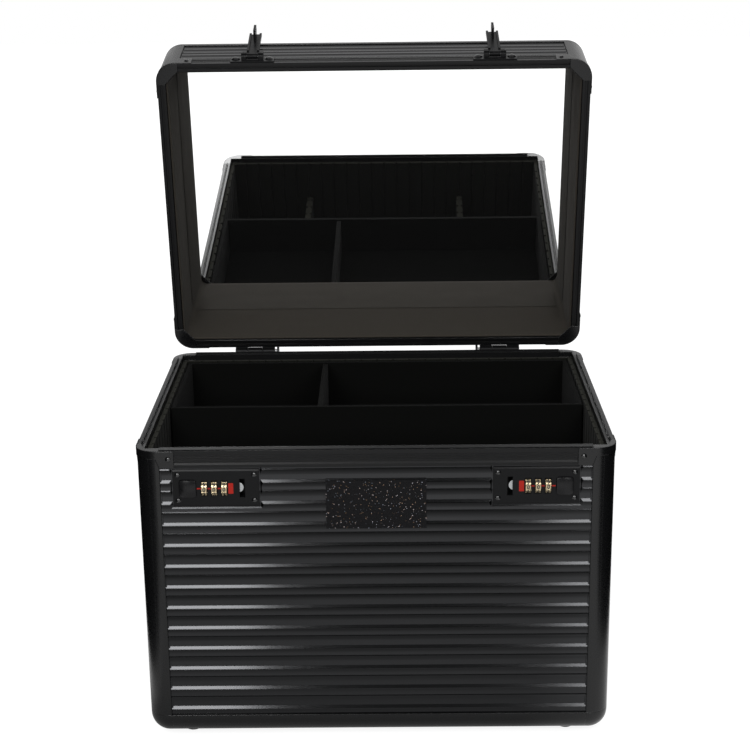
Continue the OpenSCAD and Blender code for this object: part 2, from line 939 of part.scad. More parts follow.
module badge() {
    top = rim_z - badge_top_drop;
    color("#101112")
        block([-badge_width / 2, -half_depth + crown_setback - badge_thickness, top - badge_height],
              [badge_width / 2, -half_depth + crown_setback, top]);
}

// A number wheel with a notch between its ten places
module number_wheel(place) {
    turn = 360 / wheel_notch_count;
    color("#c9a24a")
        on_lock()
            translate([place, wheel_depth, 0])
                rotate([0, 90, 0])
                    linear_extrude(wheel_width, center = true)
                        difference() {
                            circle(wheel_radius);
                            circle(axle_radius + running_play);
                            for (i = [0 : wheel_notch_count - 1])
                                rotate(i * turn) translate([wheel_radius, 0]) circle(wheel_notch_radius);
                        }
}

module wheel_left_1() { number_wheel(wheel_place(1)); }
module wheel_left_2() { number_wheel(wheel_place(2)); }
module wheel_left_3() { number_wheel(wheel_place(3)); }
module wheel_right_1() { mirror([1, 0, 0]) number_wheel(wheel_place(1)); }
module wheel_right_2() { mirror([1, 0, 0]) number_wheel(wheel_place(2)); }
module wheel_right_3() { mirror([1, 0, 0]) number_wheel(wheel_place(3)); }

// A push button with a crowned face, a flange behind the plate and a stem
module lock_button() {
    half = [button_width / 2, button_height / 2];
    front = plate_front - button_rise;
    flange_y = valley_depth + fit;
    ball = (half.y * half.y + button_crown * button_crown) / (2 * button_crown);
    color("#1a1b1d")
        on_lock()
            translate([button_centre, 0, 0]) {
                intersection() {
                    translate([0, flange_y, 0])
                        rotate([90, 0, 0])
                            linear_extrude(flange_y - front + button_crown)
                                rounded_outline(half, button_rounding);
                    translate([0, front - button_crown + ball, 0]) sphere(ball, $fn = 4 * $fn);
                }
                block([-half.x - button_flange, flange_y, -half.y - button_flange],
                      [half.x + button_flange, flange_y + button_flange_thickness, half.y + button_flange]);
                translate([0, flange_y, 0])
                    rotate([-90, 0, 0])
                        cylinder(r = button_stem_radius, h = button_flange_thickness + button_stem);
            }
}

module button_left() {
    lock_button();
}

module button_right() {
    mirror([1, 0, 0]) lock_button();
}

// The sliding catch, whose round nose shows in the lock's slot
module lock_catch() {
    nose = catch_tip - catch_half_height;
    color("silver")
        on_lock()
            translate([0, catch_front + catch_thickness, 0])
                rotate([90, 0, 0])
                    linear_extrude(catch_thickness) {
                        translate([catch_tail, -catch_half_height])
                            square([nose - catch_tail, 2 * catch_half_height]);
                        translate([nose, 0]) circle(catch_half_height);
                    }
}

module catch_left() {
    lock_catch();
}

module catch_right() {
    mirror([1, 0, 0]) lock_catch();
}

// Hinges, drawn for the left one from the middle of its width on the back face, y outward

module on_hinge() {
    translate([-hinge_place, half_depth + leaf_thickness, rim_z]) mirror([0, 1, 0]) children();
}

module at_rail_leaf_rivets() {
    for (side = [-1, 1]) translate([side * leaf_rivet_spread, 0, -rail_rivet_drop]) children();
}

module at_low_leaf_rivets() {
    for (side = [-1, 1]) translate([side * leaf_rivet_spread, 0, -leaf_low_rivet]) children();
}

// Knuckle limits along a hinge, counted from its middle: the cheek takes the inner end
knuckle_low = -hinge_width / 2;
knuckle_first = knuckle_low + knuckle_span * knuckle_share;
knuckle_second = knuckle_low + knuckle_span * (1 - knuckle_share);
knuckle_high = knuckle_low + knuckle_span;

// A leaf with the rivet holes, below the rim line
module hinge_leaf() {
    difference() {
        block([-hinge_width / 2, 0, -leaf_height],
              [hinge_width / 2, leaf_thickness, -knuckle_radius - knuckle_play]);
        at_rail_leaf_rivets() rivet_hole(leaf_thickness + overrun);
        at_low_leaf_rivets() rivet_hole(leaf_thickness + overrun);
    }
}

// A knuckle from one place to another with the strap that joins it to its leaf
module knuckle(low, high, bore) {
    axis_y = leaf_thickness - hinge_offset;
    axis_z = rim_gap / 2;
    difference() {
        union() {
            bar_x(low, high, axis_y, axis_z, knuckle_radius);
            block([low, 0, -2 * knuckle_radius], [high, leaf_thickness - fit, axis_z]);
        }
        bar_x(low - overrun, high + overrun, axis_y, axis_z, bore);
    }
}

module hinge_lower_leaves() {
    color("#2a2b2d")
        both_sides() on_hinge() {
            hinge_leaf();
            knuckle(knuckle_first + knuckle_play, knuckle_second - knuckle_play, hinge_pin_radius);
        }
}

module hinge_pins() {
    color("silver")
        both_sides()
            translate([-hinge_place, 0, 0])
                bar_x(-hinge_width / 2, hinge_width / 2, hinge_y, hinge_z, hinge_pin_radius);
}

// The upper leaf is the lower one turned over about the pin, with the cheek at its inner end
module on_upper_leaf() {
    translate([0, 0, rim_gap]) mirror([0, 0, 1]) children();
}

module hinge_cheek() {
    axis = [leaf_thickness - hinge_offset, rim_gap / 2];
    inner = hinge_width / 2 - cheek_thickness;
    difference() {
        union() {
            on_upper_leaf()
                block([inner, axis.x - knuckle_radius, -2 * knuckle_radius],
                      [hinge_width / 2, leaf_thickness - fit, axis.y]);
            bar_x(inner, hinge_width / 2, axis.x, axis.y, knuckle_radius);
            translate([0, axis.x, axis.y])
                rotate([-lid_open_angle, 0, 0])
                    block([inner, -heel_width, -heel_length],
                          [hinge_width / 2, hinge_offset - leaf_thickness - heel_play, 0]);
        }
        bar_x(inner - overrun, hinge_width / 2 + overrun, axis.x, axis.y, hinge_pin_radius + running_play);
    }
}

module hinge_upper_leaves() {
    color("#2a2b2d")
        on_lid() both_sides() on_hinge() {
            on_upper_leaf() {
                hinge_leaf();
                knuckle(knuckle_low, knuckle_first, hinge_pin_radius + running_play);
                knuckle(knuckle_second, knuckle_high, hinge_pin_radius + running_play);
            }
            hinge_cheek();
        }
}

// Lid

lid_field_low = lid_z + rail_height;
lid_field_height = lid_height - rail_height - profile_reach;

module lid_panel(width) {
    translate([0, 0, lid_field_low]) ribbed_panel(width, lid_field_height);
}

module lid_panel_top() {
    color("dimgray")
        on_lid() from_lid_top()
            translate([0, half_depth - profile_reach, 0]) rotate([90, 0, 0])
                ribbed_panel(case_width - 2 * profile_reach, case_depth - 2 * profile_reach);
}

module lid_panel_front() {
    color("dimgray") on_lid() on_wall(0, half_depth) lid_panel(case_width - 2 * profile_reach);
}

module lid_panel_back() {
    color("dimgray")
        on_lid()
            difference() {
                on_wall(180, half_depth) lid_panel(case_width - 2 * profile_reach);
                both_sides() on_hinge() on_upper_leaf()
                    at_low_leaf_rivets() rivet_hole(leaf_thickness + shell - profile_leg);
            }
}

module lid_panel_sides() {
    color("dimgray") on_lid() on_short_walls() lid_panel(case_depth - 2 * profile_reach);
}

module lid_posts() {
    low = lid_z + corner_block_height;
    color("#2a2b2d")
        on_lid() at_corners()
            translate([0, 0, low]) linear_extrude(lid_top - profile_reach - low) corner_section();
}

module lid_edge_rails() {
    color("#2a2b2d")
        on_lid() from_lid_top() {
            on_long_walls() along_x(case_width - 2 * profile_reach) corner_section();
            on_short_walls() along_x(case_depth - 2 * profile_reach) corner_section();
        }
}

module lid_corners() {
    color("#2a2b2d") on_lid() from_lid_top() at_corners() corner_cap();
}

// Turns a rim piece over, so that its top face lies on the lid's rim
module from_lid_rim() {
    translate([0, 0, lid_z]) mirror([0, 0, 1]) children();
}

module lid_rim_rails() {
    color("#2a2b2d")
        on_lid()
            difference() {
                from_lid_rim() {
                    on_long_walls() rim_rail(case_width - 2 * profile_reach - 2 * fit, false);
                    on_short_walls() rim_rail(case_depth - 2 * profile_reach - 2 * fit, false);
                }
                both_sides() on_hinge() on_upper_leaf()
                    at_rail_leaf_rivets() rivet_hole(leaf_thickness + profile_wall);
                both_sides() at_hasp_rivets() rivet_hole(base_thickness + profile_wall);
            }
}

// The lid's rim corners also carry a flat web across the inside of the corner
module lid_rim_corners() {
    color("#2a2b2d")
        on_lid() from_lid_rim() at_corners() {
            rim_corner();
            translate([shell, shell, -profile_wall])
                linear_extrude(profile_wall) polygon([[0, 0], [gusset_leg, 0], [0, gusset_leg]]);
        }
}

module lid_rivets() {
    color("#3c3d40")
        on_lid() {
            from_lid_rim() at_corners() rim_corner_rivets();
            both_sides() on_hinge() on_upper_leaf() {
                at_rail_leaf_rivets() rivet(head_radius, leaf_thickness + profile_wall);
                at_low_leaf_rivets() rivet(head_radius, leaf_thickness + shell - profile_leg);
            }
            both_sides() at_hasp_rivets() rivet(hasp_rivet_head, base_thickness + profile_wall);
        }
}

module lid_lining() {
    outer = [half_width - shell, half_depth - shell];
    inner = outer - fabric_thickness * [1, 1];
    low = lid_z + fabric_setback;
    color("#4a4743")
        on_lid()
            difference() {
                block([-outer.x, -outer.y, low], [outer.x, outer.y, lid_top - shell]);
                block([-inner.x, -inner.y, low - overrun], [inner.x, inner.y, lid_top]);
            }
}

module mirror_plate() {
    half = [half_width - shell - fabric_thickness - fit, half_depth - shell - fabric_thickness - fit];
    color("white")
        on_lid() block([-half.x, -half.y, mirror_low], [half.x, half.y, lid_top - shell]);
}

// Hasps, drawn for the left one and shut

module at_hasp_rivets() {
    for (side = [-1, 1])
        translate([-hasp_place + side * hasp_rivet_spread, -half_depth - base_thickness, hasp_pivot_z])
            children();
}

module hasp_bases() {
    color("#26272a")
        on_lid() both_sides()
            difference() {
                translate([-hasp_place, 0, 0]) {
                    block([-base_half_width, -half_depth - base_thickness, lid_z + base_low],
                          [base_half_width, -half_depth, lid_z + base_high]);
                    for (side = [0, 1])
                        mirror([side, 0, 0]) {
                            block([ear_inner, hasp_pivot_y, hasp_pivot_z - ear_radius],
                                  [ear_outer, -half_depth, hasp_pivot_z + ear_radius]);
                            bar_x(ear_inner, ear_outer, hasp_pivot_y, hasp_pivot_z, ear_radius);
                        }
                }
                at_hasp_rivets() rivet_hole(base_thickness + overrun);
                translate([-hasp_place, 0, 0])
                    bar_x(-ear_outer - overrun, ear_outer + overrun, hasp_pivot_y, hasp_pivot_z, hasp_pin_radius);
            }
}

module hasp_pins() {
    color("silver")
        on_lid() both_sides()
            translate([-hasp_place, 0, 0])
                bar_x(-ear_outer, ear_outer, hasp_pivot_y, hasp_pivot_z, hasp_pin_radius);
}

// A hasp about its pivot at the origin, hanging shut along -z with the case at +y
module hasp() {
    barrel_half = ear_inner - knuckle_play;
    half = hasp_width / 2;
    sheet = hasp_sheet / 2;
    tip = loop_drop + hasp_tail;
    loop_y = pivot_height + loop_end;
    hole_y = [pivot_height + catch_front - loop_play, loop_y - loop_arm];
    difference() {
        union() {
            bar_x(-barrel_half, barrel_half, 0, 0, barrel_radius);
            block([-barrel_half, -sheet, -shoulder_low], [barrel_half, sheet, 0]);
            block([-shoulder_half_width, -sheet, -shoulder_low], [shoulder_half_width, sheet, -shoulder_top]);
            block([-half, -sheet, -tip], [half, sheet, -shoulder_low]);
            for (side = [0, 1])
                mirror([side, 0, 0])
                    block([half - flange_width, 0, -tip], [half, sheet + flange_depth, -shoulder_low]);
            block([-loop_thickness / 2, 0, -loop_drop - loop_half_height],
                  [loop_thickness / 2, loop_y, -loop_drop + loop_half_height]);
        }
        bar_x(-barrel_half - overrun, barrel_half + overrun, 0, 0, hasp_pin_radius + running_play);
        block([-loop_thickness, hole_y[0], -loop_drop - catch_half_height - loop_play],
              [loop_thickness, hole_y[1], -loop_drop + catch_half_height + loop_play]);
    }
}

module open_hasp() {
    color("#26272a")
        on_lid()
            translate([-hasp_place, hasp_pivot_y, hasp_pivot_z]) rotate([-hasp_open_angle, 0, 0]) hasp();
}

module hasp_left() {
    open_hasp();
}

module hasp_right() {
    mirror([1, 0, 0]) open_hasp();
}

// Handle on the lid's top, folded towards the hinges

module handle_brackets() {
    plate_low = handle_span - handle_plate_inset;
    color("#26272a")
        on_lid() both_sides()
            difference() {
                union() {
                    block([plate_low, -handle_plate_half, handle_z],
                          [plate_low + handle_plate_length, handle_plate_half, handle_z + handle_plate_thickness]);
                    block([handle_span, -handle_arm_radius, handle_z],
                          [handle_span + handle_lug_width, handle_arm_radius, handle_pivot_z]);
                    bar_x(handle_span, handle_span + handle_lug_width, 0, handle_pivot_z, handle_arm_radius);
                }
                bar_x(handle_span - overrun, handle_span + handle_lug_width + overrun,
                      0, handle_pivot_z, handle_stub_radius + running_play);
            }
}

module handle() {
    arm_high = handle_span - handle_play;
    arm_low = arm_high - handle_arm_width;
    color("#141516")
        on_lid() translate([0, 0, handle_pivot_z]) {
            both_sides() {
                block([arm_low, 0, -handle_arm_radius], [arm_high, handle_arm, handle_arm_radius]);
                bar_x(arm_low, arm_high, 0, 0, handle_arm_radius);
                bar_x(arm_low, arm_high, handle_arm, 0, grip_radius);
                bar_x(arm_low, handle_span + handle_lug_width, 0, 0, handle_stub_radius);
                bar_x(arm_low - handle_collar_length, arm_low, handle_arm, 0, grip_radius - handle_collar);
            }
            bar_x(-arm_low + handle_collar_length, arm_low - handle_collar_length, handle_arm, 0, grip_radius);
        }
}

front_panel();
back_panel();
left_panel();
right_panel();
floor_board();
corner_posts();
bottom_rails();
bottom_corners();
rim_rails();
rim_corners();
case_rivets();
feet();
lining_front();
lining_back();
lining_left();
lining_right();
floor_pad();
divider_left();
divider_right();
tray();
tray_divider();
lock_plate_left();
lock_plate_right();
lock_housings();
lock_axles();
lock_index();
lock_rivets();
badge();
wheel_left_1();
wheel_left_2();
wheel_left_3();
wheel_right_1();
wheel_right_2();
wheel_right_3();
button_left();
button_right();
catch_left();
catch_right();
hinge_lower_leaves();
hinge_pins();
lid_panel_top();
lid_panel_front();
lid_panel_back();
lid_panel_sides();
lid_posts();
lid_edge_rails();
lid_corners();
lid_rim_rails();
lid_rim_corners();
lid_rivets();
lid_lining();
mirror_plate();  // mirror
hinge_upper_leaves();
hasp_bases();
hasp_pins();
hasp_left();
hasp_right();
handle_brackets();
handle();
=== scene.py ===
"""Looks for the grooming case: finishes, soft linings, dial numbers, stage, lights and camera.

Lengths are in metres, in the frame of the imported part: X right, Y to the back, Z up from the floor.
"""

import json
import math

import bmesh
import bpy
from mathutils import Matrix, Vector, noise


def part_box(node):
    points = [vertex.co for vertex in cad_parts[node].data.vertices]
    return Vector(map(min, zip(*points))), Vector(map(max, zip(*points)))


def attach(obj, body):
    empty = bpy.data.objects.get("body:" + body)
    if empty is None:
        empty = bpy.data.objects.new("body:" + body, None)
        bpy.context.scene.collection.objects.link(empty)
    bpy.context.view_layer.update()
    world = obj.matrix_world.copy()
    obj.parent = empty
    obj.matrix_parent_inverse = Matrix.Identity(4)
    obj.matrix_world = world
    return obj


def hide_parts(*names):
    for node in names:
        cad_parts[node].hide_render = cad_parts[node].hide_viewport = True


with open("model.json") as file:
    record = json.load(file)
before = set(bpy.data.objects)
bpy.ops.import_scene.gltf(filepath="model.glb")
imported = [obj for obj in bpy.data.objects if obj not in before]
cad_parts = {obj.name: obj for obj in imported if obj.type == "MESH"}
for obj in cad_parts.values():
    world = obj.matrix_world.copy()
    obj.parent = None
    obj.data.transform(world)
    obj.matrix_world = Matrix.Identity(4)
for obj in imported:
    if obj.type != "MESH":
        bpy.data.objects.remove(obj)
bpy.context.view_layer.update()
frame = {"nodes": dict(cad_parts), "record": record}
nodes = frame["nodes"]

# Camera, as solved from the photograph's edges
FOCAL_PIXELS = 1644.7
IMAGE_WIDTH = 750
SENSOR_WIDTH = 36
CAMERA_PLACE = Vector((0.0127, -1.426, 0.7276))
CAMERA_YAW = math.radians(-0.557)
CAMERA_PITCH = math.radians(-17.079)
CAMERA_ROLL = math.radians(-0.681)

# Edges that catch the light
METAL_EDGE = 0.0005
SHEET_EDGE = 0.0003
RIB_EDGE = 0.0006
SOFT_EDGE = 0.0012
EDGE_SAMPLES = 6

# Edges of foam and boards, which are rounded in the mesh
FOAM_EDGE = 0.0007
BOARD_EDGE = 0.0012
EDGE_SEGMENTS = 3
WELD_DISTANCE = 0.00001

# Ribs of the lower panels: their pitch, the heights of the two lowest ledges, how far down from each ledge a
# painted shade darkens the coat's colour, its share of colour there, the heights between which it sets in, and
# the coat's metallic share
RIB_PITCH = 0.01905
LEDGE_HEIGHTS = (0.0318, 0.043)
PAINTED_SHADE_REACH = 0.005
PAINTED_SHADE_SHARE = 0.25
PAINTED_SHADE_RISE = (0.05, 0.2)
RIB_METAL = 0.9

# Grains of the finishes along x, y and z, and the heights of their bumps
COAT_GRAIN = (0.0009, 0.0009, 0.0009)
COAT_BUMP = 0.000002
FINE_GRAIN = (0.0008, 0.0008, 0.0008)
FINE_BUMP = 0.00001
BRUSHED_GRAIN = (0.003, 0.0003, 0.0003)
MOULDED_GRAIN = (0.0014, 0.0014, 0.0014)
MOULDED_BUMP = 0.0001
FIBRE_GRAIN = (0.0007, 0.0007, 0.0007)
FIBRE_BUMP = 0.0001
HAZE_GRAIN = (0.12, 0.12, 0.12)

# Fabrics, and the slopes between which an upward face of foam turns paler, partly the cut foam's own colour
# and partly painted light
CUT_EDGE_AND_PAINTED_LIGHT_SLOPES = (0.5, 0.9)
FABRIC_ROUGHNESS = (0.85, 0.97)
FABRIC_SPECULAR = 0.05
SHEEN_ROUGHNESS = 0.4
FOAM_SHEEN = 0.03

# Colours and roughness that more than one finish uses, each as the two ends of its grain
FRAME_COLOURS = ((0.0026, 0.0027, 0.0029), (0.0038, 0.0039, 0.0042))
PLASTIC_COLOURS = ((0.008, 0.008, 0.008), (0.014, 0.014, 0.014))
FOAM_COLOURS = ((0.0045, 0.0047, 0.0040), (0.0080, 0.0083, 0.0070))
PANEL_ROUGHNESS = (0.11, 0.15)

# Mirror: its silver, its dull share, and its bow, as how far its face turns sideways between its two ends
MIRROR_COLOURS = ((0.93, 0.935, 0.935), (0.95, 0.955, 0.955))
MIRROR_ROUGHNESS = (0.0, 0.015)
MIRROR_HAZE = 0.004
MIRROR_ENDS = (-0.17, 0.17)
MIRROR_TURNS = (-0.0227, 0.0)

# The glitter plate and its flecks
PLATE_COLOUR = (0.003, 0.003, 0.0035)
PLATE_SPECULAR = 0.1
FLECK_ROUGHNESS = (0.25, 0.55)
FLECK_PITCH = 0.0008
FLECK_SHARES = (0.9, 0.99)
FLECK_EDGES = (0.2, 0.4)
FLECK_TINTS = ((0.75, 0.45, 0.25), (0.62, 0.7, 0.85))
FLECK_TILT = 0.0002

# Numbers on the dials
NUMBER_HEIGHT = 0.0046
NUMBER_WEIGHT = 0.00018
NUMBER_SLICE = 0.0003
NUMBER_PROUD = 0.00005
NUMBER_COUNT = 10

# Felt inside the lid
FELT_THICKNESS = 0.0012
FELT_GAP = 0.0003
FELT_CORNER = 0.007
FELT_CORNER_STEPS = 6
FELT_WRINKLE = 0.0007
FELT_WRINKLE_LENGTH = 0.035
FELT_ROWS = 22
FELT_STEP = 0.006

# Floor, and how it glows near the case and farther out
FLOOR_SIZE = 12
FLOOR_COLOURS = ((0.24, 0.24, 0.24), (0.26, 0.26, 0.26))
FLOOR_GRAIN = (0.05, 0.05, 0.05)
FLOOR_ROUGHNESS = 0.9
NEAR_GLOW = 0.86
GLOW_RISE = (0.7, 2.0)

# Patch of the floor before the case whose glow glossy things show dimmer, a painted shade: its edges, and how
# this painted shade darkens to the case
PATCH_LEFT = (-0.268, -0.26)
PATCH_RIGHT = (0.1, 0.2)
PATCH_FRONT = (-0.6, -0.57)
SHADE_REACH = (-0.26, -0.16)
SHADE_SHINES = (0.6, 0.25)

# Surround: its light at the horizon and overhead, and how bright glossy things show it in front and behind
WORLD_LIGHT = (0.05, 1.2)
CEILING_LEVELS = (0.08, 0.73)
CEILING_TURN = (-0.5, 0.5)
CEILING_RISE = (0.275, 0.36)

# Dark cards beside the case, outside the picture, which only glossy things show
LEFT_CARD_PLACE = -0.33
RIGHT_CARD_PLACE = 0.37
CARD_HEIGHT = 1.0
CARD_BACK = 0.5
LEFT_CARD_FRONT = -0.6
RIGHT_CARD_FRONT = -0.46

# Softboxes to the left and right of the camera
CASE_MIDDLE = (0, 0, 0.2)
SOFTBOX_HEIGHT = 0.6
LEFT_WIDTH = 0.35
LEFT_PLACE = (-0.36, -1.15, 0.78)
LEFT_POWER = 8.8
RIGHT_WIDTH = 0.3
RIGHT_PLACE = (0.425, -1.15, 0.78)
RIGHT_POWER = 6.2


def tree_of(material):
    """The node tree and shader of a new material."""
    material.use_nodes = True
    tree = material.node_tree
    return tree, tree.nodes["Principled BSDF"]


def add(tree, kind, **settings):
    """A new node with its properties and input values set by name."""
    node = tree.nodes.new(kind)
    for name, value in settings.items():
        if name in node.inputs:
            node.inputs[name].default_value = value
        else:
            setattr(node, name, value)
    return node


def grain_noise(tree, size, detail=4.0):
    """A noise whose grains have the given size along x, y and z."""
    place = add(tree, "ShaderNodeTexCoord")
    stretch = add(tree, "ShaderNodeMapping")
    stretch.inputs["Scale"].default_value = [1 / length for length in size]
    tree.links.new(place.outputs["Object"], stretch.inputs["Vector"])
    grain = add(tree, "ShaderNodeTexNoise", Scale=1.0, Detail=detail)
    tree.links.new(stretch.outputs["Vector"], grain.inputs["Vector"])
    return grain.outputs["Fac"]


def spread(tree, value, low, high, start=0.3, end=0.7):
    """Maps a value from start..end, by default a noise's usual range, onto low..high."""
    node = add(tree, "ShaderNodeMapRange")
    for name, number in (("From Min", start), ("From Max", end), ("To Min", low), ("To Max", high)):
        node.inputs[name].default_value = number
    tree.links.new(value, node.inputs["Value"])
    return node.outputs["Result"]


def blend_colours(tree, value, first, second, start=0.3, end=0.7):
    """A colour between first and second, by a value from start to end."""
    ramp = add(tree, "ShaderNodeValToRGB")
    ramp.color_ramp.elements[0].position = start
    ramp.color_ramp.elements[0].color = (*first, 1)
    ramp.color_ramp.elements[1].position = end
    ramp.color_ramp.elements[1].color = (*second, 1)
    tree.links.new(value, ramp.inputs["Fac"])
    return ramp.outputs["Color"]


def combine(tree, operation, first, second):
    """Two values, each a number or an output, joined by a calculation."""
    node = add(tree, "ShaderNodeMath", operation=operation)
    for socket, value in zip(node.inputs, (first, second)):
        if isinstance(value, float):
            socket.default_value = value
        else:
            tree.links.new(value, socket)
    return node.outputs["Value"]


def bumped(tree, shader, value, height, edge=0.0):
    """Gives the shader a bumped normal, with the piece's edges rounded to catch light."""
    bump = add(tree, "ShaderNodeBump", Strength=1.0, Distance=height)
    tree.links.new(value, bump.inputs["Height"])
    if edge:
        rounding = add(tree, "ShaderNodeBevel", Radius=edge, samples=EDGE_SAMPLES)
        tree.links.new(rounding.outputs["Normal"], bump.inputs["Normal"])
    tree.links.new(bump.outputs["Normal"], shader.inputs["Normal"])


def finish_of(name, colours, roughness, grain, height, edge=0.0, metallic=0.0, specular=0.5):
    """A finish whose colour, roughness and surface vary with one grain."""
    material = bpy.data.materials.new(name)
    tree, shader = tree_of(material)
    value = grain_noise(tree, grain)
    tree.links.new(blend_colours(tree, value, *colours), shader.inputs["Base Color"])
    tree.links.new(spread(tree, value, *roughness), shader.inputs["Roughness"])
    shader.inputs["Metallic"].default_value = metallic
    shader.inputs["Specular IOR Level"].default_value = specular
    bumped(tree, shader, value, height, edge)
    return material


def ribbed_of(name, colours, roughness):
    """A coated metal sheet whose colour is darkened by a painted shade in a band under each ledge of its ribs.
    """
    material = finish_of(name, colours, roughness, COAT_GRAIN, COAT_BUMP, RIB_EDGE, metallic=RIB_METAL)
    tree = material.node_tree
    colour = tree.nodes["Principled BSDF"].inputs["Base Color"]
    place = add(tree, "ShaderNodeTexCoord")
    axes = add(tree, "ShaderNodeSeparateXYZ")
    tree.links.new(place.outputs["Object"], axes.inputs["Vector"])
    # Painted shade: the colour is scaled down for a short way under each ledge, and not near the floor
    levels = []
    for ledge in LEDGE_HEIGHTS:
        drop = combine(tree, "SUBTRACT", ledge, axes.outputs["Z"])
        below = combine(tree, "FLOORED_MODULO", drop, RIB_PITCH)
        levels.append(spread(tree, below, PAINTED_SHADE_SHARE, 1.0, 0.0, PAINTED_SHADE_REACH))
    clear = spread(tree, axes.outputs["Z"], 1.0, 0.0, *PAINTED_SHADE_RISE)
    level = combine(tree, "MAXIMUM", combine(tree, "MULTIPLY", *levels), clear)
    painted_shade = add(tree, "ShaderNodeVectorMath", operation="SCALE")
    tree.links.new(colour.links[0].from_socket, painted_shade.inputs["Vector"])
    tree.links.new(level, painted_shade.inputs["Scale"])
    tree.links.new(painted_shade.outputs["Vector"], colour)
    return material


def fabric_of(name, colours, grain, height, sheen):
    """A felt or foam whose fibres scatter light at its edges."""
    material = finish_of(name, colours, FABRIC_ROUGHNESS, grain, height, specular=FABRIC_SPECULAR)
    shader = material.node_tree.nodes["Principled BSDF"]
    shader.inputs["Sheen Weight"].default_value = sheen
    shader.inputs["Sheen Roughness"].default_value = SHEEN_ROUGHNESS
    return material


def foam_of(name, cut):
    """Black foam whose upward faces, its cut upper edges, are paler: partly the cut foam's own colour, partly
    painted light.
    """
    material = fabric_of(name, FOAM_COLOURS, FIBRE_GRAIN, FIBRE_BUMP, FOAM_SHEEN)
    tree = material.node_tree
    shader = tree.nodes["Principled BSDF"]
    faces = add(tree, "ShaderNodeTexCoord")
    axes = add(tree, "ShaderNodeSeparateXYZ")
    tree.links.new(faces.outputs["Normal"], axes.inputs["Vector"])
    # Paler colour on upward faces: partly cut foam, partly painted light from above
    upward = spread(tree, axes.outputs["Z"], 0.0, 1.0, *CUT_EDGE_AND_PAINTED_LIGHT_SLOPES)
    blend = add(tree, "ShaderNodeMixRGB", Color2=(*cut, 1))
    tree.links.new(upward, blend.inputs["Fac"])
    tree.links.new(shader.inputs["Base Color"].links[0].from_socket, blend.inputs["Color1"])
    tree.links.new(blend.outputs["Color"], shader.inputs["Base Color"])
    return material


def glitter_of(name):
    """A black plate with small bright flecks, each turned its own way."""
    material = bpy.data.materials.new(name)
    tree, shader = tree_of(material)
    place = add(tree, "ShaderNodeTexCoord")
    flecks = add(tree, "ShaderNodeTexVoronoi", Scale=1 / FLECK_PITCH)
    tree.links.new(place.outputs["Object"], flecks.inputs["Vector"])
    part = add(tree, "ShaderNodeSeparateColor")
    tree.links.new(flecks.outputs["Color"], part.inputs["Color"])
    chosen = spread(tree, part.outputs["Red"], 0.0, 1.0, *FLECK_SHARES)
    inside = spread(tree, flecks.outputs["Distance"], 1.0, 0.0, *FLECK_EDGES)
    fleck = combine(tree, "MULTIPLY", chosen, inside)
    colour = add(tree, "ShaderNodeMixRGB", Color1=(*PLATE_COLOUR, 1))
    tree.links.new(fleck, colour.inputs["Fac"])
    tree.links.new(blend_colours(tree, part.outputs["Green"], *FLECK_TINTS), colour.inputs["Color2"])
    tree.links.new(colour.outputs["Color"], shader.inputs["Base Color"])
    roughness = spread(tree, part.outputs["Green"], *FLECK_ROUGHNESS, 0.0, 1.0)
    tree.links.new(roughness, shader.inputs["Roughness"])
    shader.inputs["Specular IOR Level"].default_value = PLATE_SPECULAR
    bumped(tree, shader, part.outputs["Blue"], FLECK_TILT)
    return material


def mirror_of(name):
    """Silvered glass, slightly bowed across its width, with a trace of haze."""
    material = bpy.data.materials.new(name)
    tree, shader = tree_of(material)
    haze = grain_noise(tree, HAZE_GRAIN)
    tree.links.new(blend_colours(tree, haze, *MIRROR_COLOURS), shader.inputs["Base Color"])
    tree.links.new(spread(tree, haze, *MIRROR_ROUGHNESS), shader.inputs["Roughness"])
    shader.inputs["Metallic"].default_value = 1 - MIRROR_HAZE
    place = add(tree, "ShaderNodeTexCoord")
    axes = add(tree, "ShaderNodeSeparateXYZ")
    tree.links.new(place.outputs["Object"], axes.inputs["Vector"])
    turn = add(tree, "ShaderNodeCombineXYZ")
    tree.links.new(spread(tree, axes.outputs["X"], *MIRROR_TURNS, *MIRROR_ENDS), turn.inputs["X"])
    face = add(tree, "ShaderNodeNewGeometry")
    turned = add(tree, "ShaderNodeVectorMath", operation="ADD")
    tree.links.new(face.outputs["Normal"], turned.inputs[0])
    tree.links.new(turn.outputs["Vector"], turned.inputs[1])
    unit = add(tree, "ShaderNodeVectorMath", operation="NORMALIZE")
    tree.links.new(turned.outputs["Vector"], unit.inputs[0])
    tree.links.new(unit.outputs["Vector"], shader.inputs["Normal"])
    return material


panel = finish_of(
    "black_panel", ((0.0026, 0.0028, 0.0034), (0.0036, 0.0038, 0.0046)), PANEL_ROUGHNESS, COAT_GRAIN,
    COAT_BUMP, RIB_EDGE, specular=0.35,
)
ribbed = ribbed_of("black_ribs_painted_shade", ((0.0265, 0.0269, 0.0281), (0.0292, 0.0297, 0.0309)), PANEL_ROUGHNESS)
profile = finish_of(
    "black_profile", FRAME_COLOURS, (0.24, 0.31), COAT_GRAIN, COAT_BUMP, SOFT_EDGE, specular=0.3,
)
rail = finish_of(
    "black_rail", FRAME_COLOURS, (0.3, 0.38), COAT_GRAIN, COAT_BUMP, SHEET_EDGE, specular=0.17,
)
hardware = finish_of(
    "black_plate", ((0.0032, 0.0033, 0.0036), (0.0048, 0.0049, 0.0053)), (0.26, 0.36), FINE_GRAIN, FINE_BUMP,
    SHEET_EDGE, specular=0.1,
)
rivet = finish_of(
    "dark_rivet", ((0.004, 0.0042, 0.0045), (0.007, 0.0072, 0.0076)), (0.12, 0.2), FINE_GRAIN, FINE_BUMP,
    specular=0.6,
)
